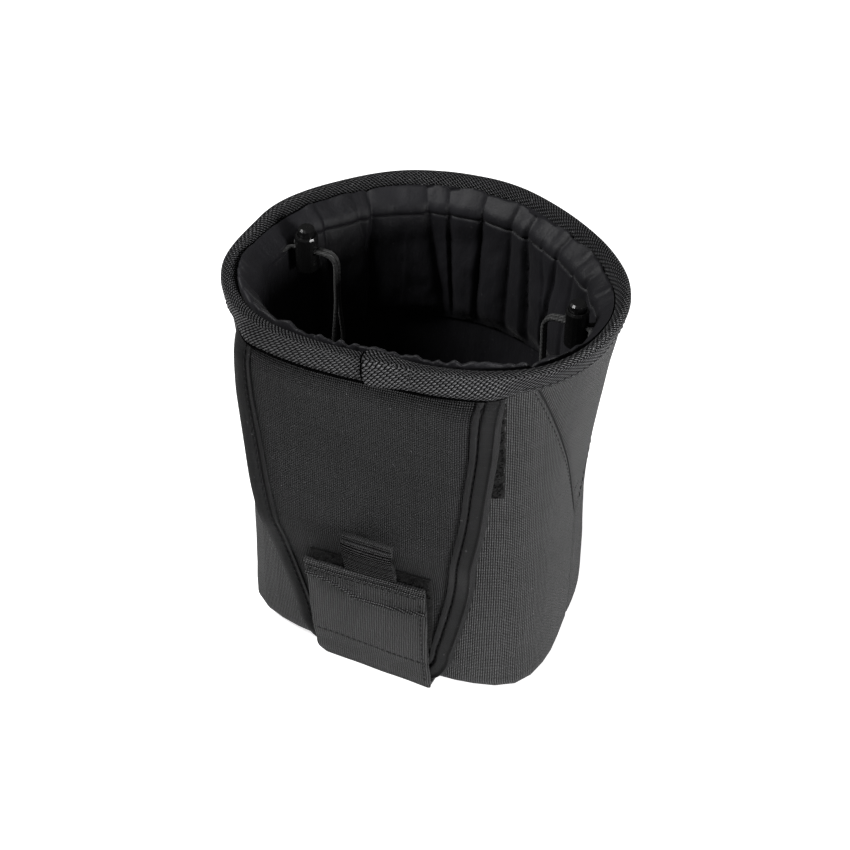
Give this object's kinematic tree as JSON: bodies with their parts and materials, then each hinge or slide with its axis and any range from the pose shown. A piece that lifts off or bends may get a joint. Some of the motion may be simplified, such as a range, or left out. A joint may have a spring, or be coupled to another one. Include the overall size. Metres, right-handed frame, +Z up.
{
  "type": "padded drawstring lens pouch",
  "caption": "Padded round-mouthed fabric pouch for a camera lens, with a drawstring dry collar, cord locks, and a belt flap closed by a hook-and-loop strap.",
  "frame": {"origin": "middle of the base, on the flat face that the pouch stands on", "axes": "+Z up through the mouth, -Y towards the belt flap, X across the width"},
  "size_m": [0.1524, 0.1329, 0.1612],
  "materials": {
    "shell_fabric": "coarse ballistic weave, matt",
    "binding_tape": "herringbone woven tape with a slight sheen",
    "foam": "soft closed-cell foam",
    "lining": "silky coated cloth",
    "hook_and_loop": "fuzzy pile",
    "webbing": "ribbed woven webbing",
    "tag": "plain woven tag",
    "cord": "braided round cord",
    "plastic": "smooth moulded plastic",
    "spring_steel": "bright drawn wire"
  },
  "bodies": {
    "bag": {"belt_side_wall": "shell_fabric", "far_side_wall": "shell_fabric", "right_gusset": "shell_fabric", "left_gusset": "shell_fabric", "base_panel": "shell_fabric", "wall_foam": "foam", "base_foam": "foam", "wall_lining": "lining", "base_lining": "lining", "rim_binding": "binding_tape", "wall_loop_panel": "hook_and_loop", "side_tag": "tag", "dry_collar": "lining"},
    "hem": {"collar_hem": "lining", "far_drawcord": "cord", "belt_side_drawcord": "cord", "right_cord_tail": "cord", "left_cord_tail": "cord"},
    "right_lock": {"right_lock_barrel": "plastic", "right_lock_spring": "spring_steel"},
    "right_plunger": {"right_lock_plunger": "plastic"},
    "left_lock": {"left_lock_barrel": "plastic", "left_lock_spring": "spring_steel"},
    "left_plunger": {"left_lock_plunger": "plastic"},
    "belt_flap": {"flap_outer_panel": "shell_fabric", "flap_core": "foam", "flap_inner_panel": "shell_fabric", "flap_binding": "webbing", "flap_hook_patch": "hook_and_loop", "flap_face_strip": "hook_and_loop", "strap_sewn_end": "webbing"},
    "strap": {"lock_strap": "webbing", "strap_patch": "hook_and_loop", "pull_tab": "webbing"}
  },
  "joints": [
    {"name": "collar_lift", "type": "slide", "parent": "bag", "child": "hem", "axis": [0, 0, 1], "range_m": [0, 0.06], "deforming": ["dry_collar"]},
    {"name": "right_lock_slide", "type": "slide", "parent": "hem", "child": "right_lock", "axis": [-1, 0, 0], "range_m": [0, 0.003]},
    {"name": "right_plunger_press", "type": "slide", "parent": "right_lock", "child": "right_plunger", "axis": [0, 0, -1], "range_m": [0, 0.0026], "stiffness_N_per_m": 600, "springref_m": -0.002, "deforming": ["right_lock_spring"]},
    {"name": "left_lock_slide", "type": "slide", "parent": "hem", "child": "left_lock", "axis": [1, 0, 0], "range_m": [0, 0.003]},
    {"name": "left_plunger_press", "type": "slide", "parent": "left_lock", "child": "left_plunger", "axis": [0, 0, -1], "range_m": [0, 0.0026], "stiffness_N_per_m": 600, "springref_m": -0.002, "deforming": ["left_lock_spring"]},
    {"name": "flap_swing", "type": "hinge", "parent": "bag", "child": "belt_flap", "pos_m": [0, -0.0662, 0.153], "axis": [-1, 0, 0], "range_deg": [0, 150]},
    {"name": "strap_swing", "type": "hinge", "parent": "belt_flap", "child": "strap", "pos_m": [0, -0.05818, 0.0006], "axis": [1, 0, 0], "range_deg": [0, 165]}
  ]
}
